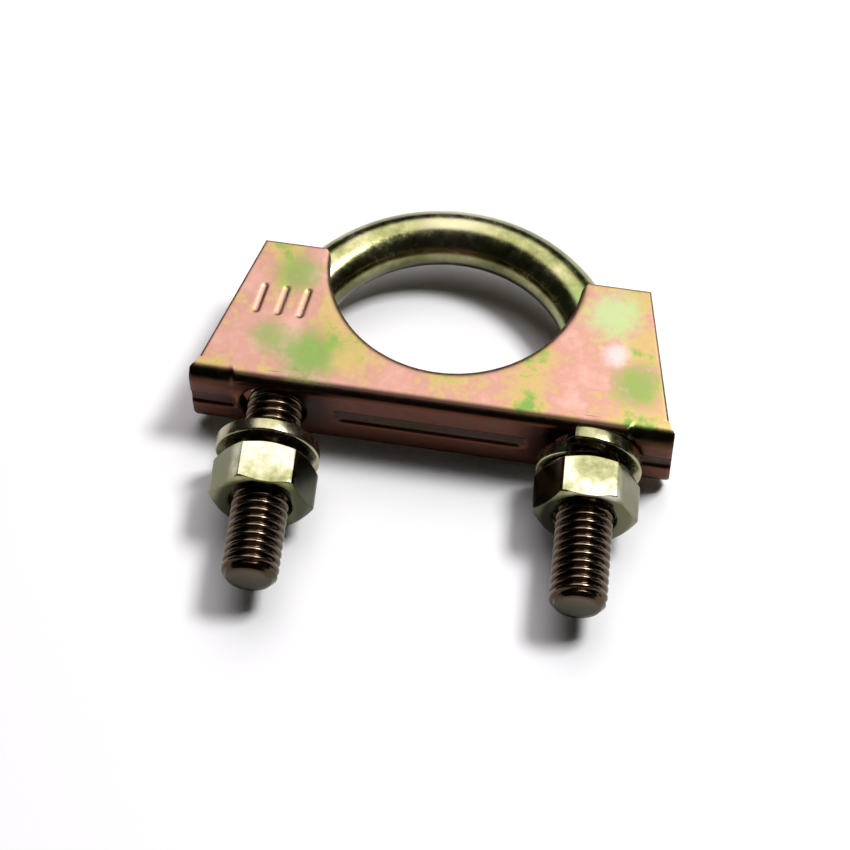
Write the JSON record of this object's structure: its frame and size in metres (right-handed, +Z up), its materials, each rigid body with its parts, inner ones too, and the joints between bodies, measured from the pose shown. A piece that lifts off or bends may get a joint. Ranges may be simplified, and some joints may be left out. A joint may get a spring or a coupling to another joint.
{
  "type": "u-bolt",
  "caption": "U-bolt pipe clamp: a bent threaded bar, a pressed double-cheek saddle, and a hexagon nut with a split spring washer on each leg.",
  "frame": {"origin": "centre of the bar's half-round bow, on the bar's mid-plane: the pipe's axis when the clamp is closed", "axes": "+Z up, along the pipe; +Y from the legs towards the bow; +X across the two legs. The clamp lies on its back, so +Z is its thinnest way and X its longest"},
  "size_m": [0.0689, 0.0639, 0.0148],
  "materials": {
    "bar_zinc": "yellow passivated zinc on drawn bar",
    "saddle_zinc": "yellow passivated zinc on pressed sheet, rainbow tinted",
    "nut_zinc": "yellow passivated zinc on cold-formed steel",
    "washer_zinc": "yellow passivated zinc on spring steel"
  },
  "bodies": {
    "bar": {"u_bolt": "bar_zinc"},
    "left_washer": {"washer_left": "washer_zinc"},
    "left_nut": {"nut_left": "nut_zinc"},
    "right_washer": {"washer_right": "washer_zinc"},
    "right_nut": {"nut_right": "nut_zinc"},
    "saddle": {"saddle": "saddle_zinc"}
  },
  "joints": [
    {"name": "right_washer_slide", "type": "slide", "parent": "bar", "child": "right_washer", "axis": [0, -1, 0], "range_m": [0, 0.0115]},
    {"name": "right_nut_turn", "type": "hinge", "parent": "right_washer", "child": "right_nut", "pos_m": [0.0225, -0.0203, 0], "axis": [0, 1, 0], "range_deg": [0, 3313]},
    {"name": "left_washer_slide", "type": "slide", "parent": "bar", "child": "left_washer", "axis": [0, -1, 0], "range_m": [0, 0.0115]},
    {"name": "left_nut_turn", "type": "hinge", "parent": "left_washer", "child": "left_nut", "pos_m": [-0.0225, -0.0222, 0], "axis": [0, 1, 0], "range_deg": [0, 3313]},
    {"name": "saddle_rock", "type": "hinge", "parent": "right_washer", "child": "saddle", "pos_m": [0.0204, -0.0127, 0], "axis": [0, 0, 1], "range_deg": [0, 6.2]}
  ],
  "couplings": [
    {"joint": "right_nut_turn", "follows": "right_washer_slide", "rad_per_m": 5026.5},
    {"joint": "left_washer_slide", "follows": "right_washer_slide", "ratio": 1},
    {"joint": "left_nut_turn", "follows": "right_washer_slide", "rad_per_m": 5026.5}
  ]
}
